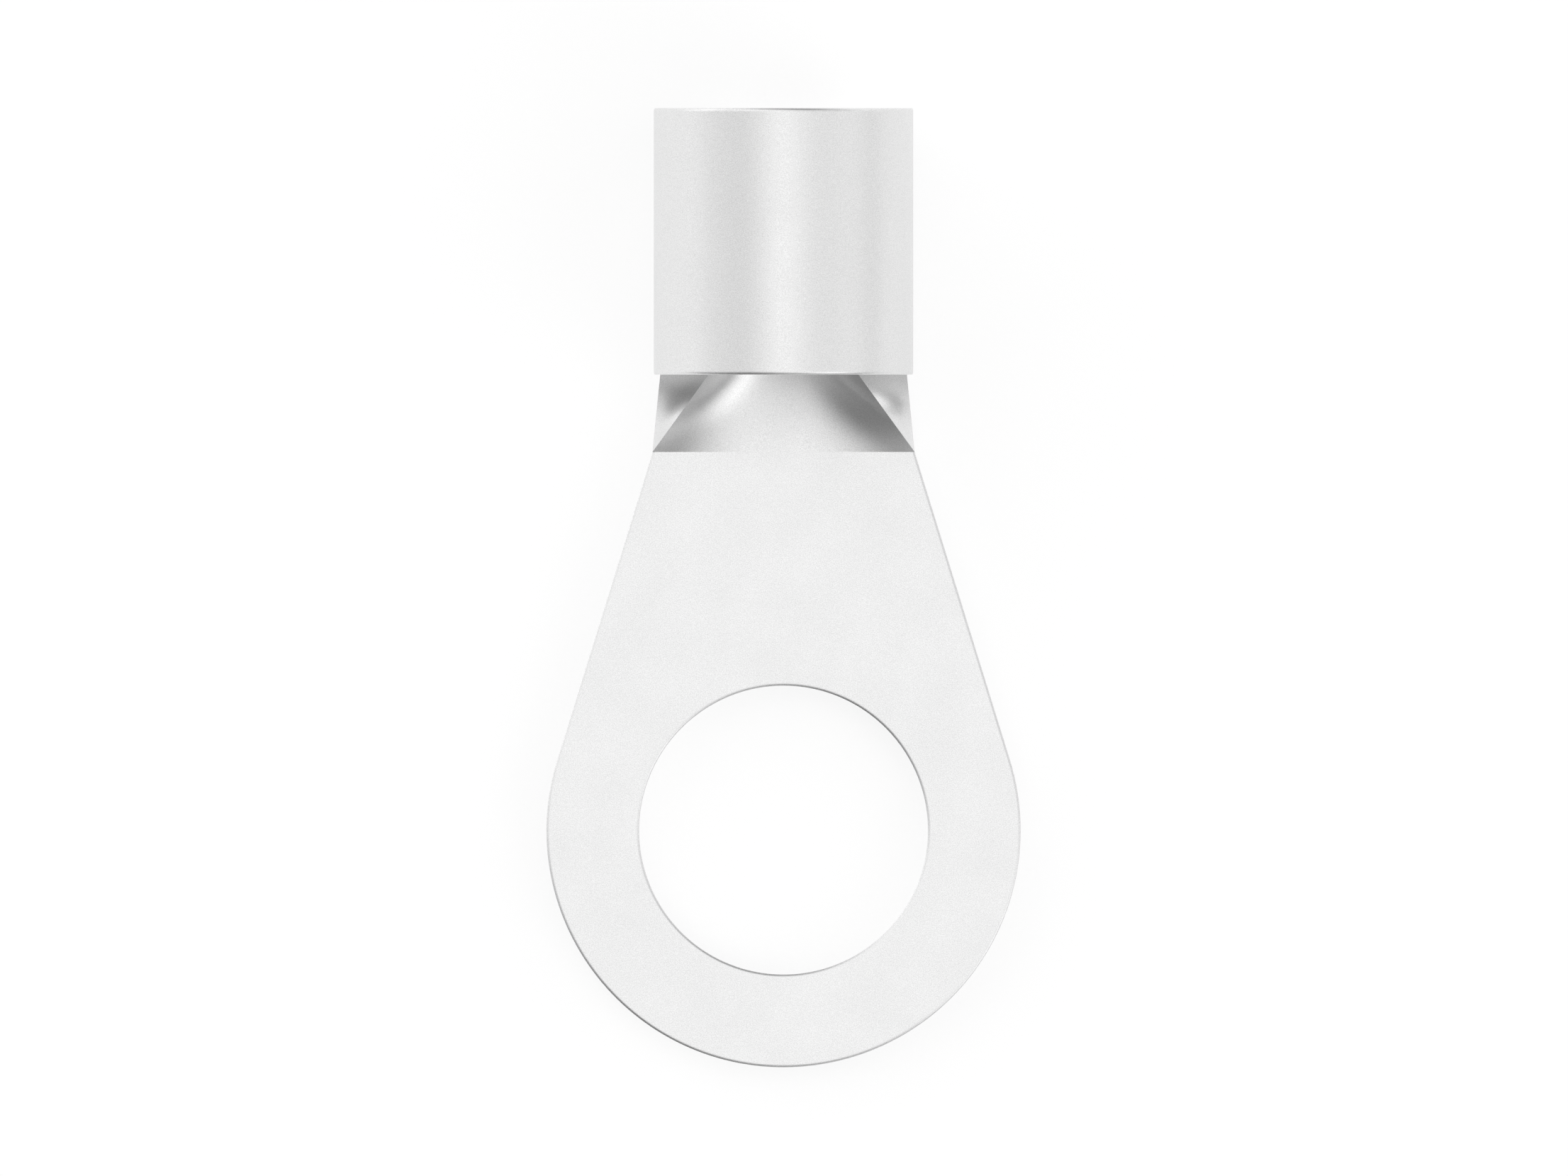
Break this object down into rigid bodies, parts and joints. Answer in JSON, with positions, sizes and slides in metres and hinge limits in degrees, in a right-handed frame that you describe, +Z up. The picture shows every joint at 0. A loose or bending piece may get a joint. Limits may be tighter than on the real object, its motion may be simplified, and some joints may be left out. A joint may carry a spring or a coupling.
{
  "type": "ring terminal",
  "caption": "Bare ring terminal rolled from one piece of tin-plated copper sheet: a flat ring tongue for a stud, a short curled neck and a closed round barrel that is crimped on a wire.",
  "frame": {"origin": "centre of the stud hole, on the flat underside that the terminal lies on", "axes": "+Z up out of the stud hole, to the side that the nut bears on; +Y along the terminal from the ring to the mouth of the wire barrel"},
  "size_m": [0.0138, 0.0279, 0.0076],
  "materials": {
    "tin_plate": "satin tin plating on copper, with a fine even grain"
  },
  "bodies": {
    "root": {"ring_terminal": "tin_plate"}
  },
  "joints": []
}
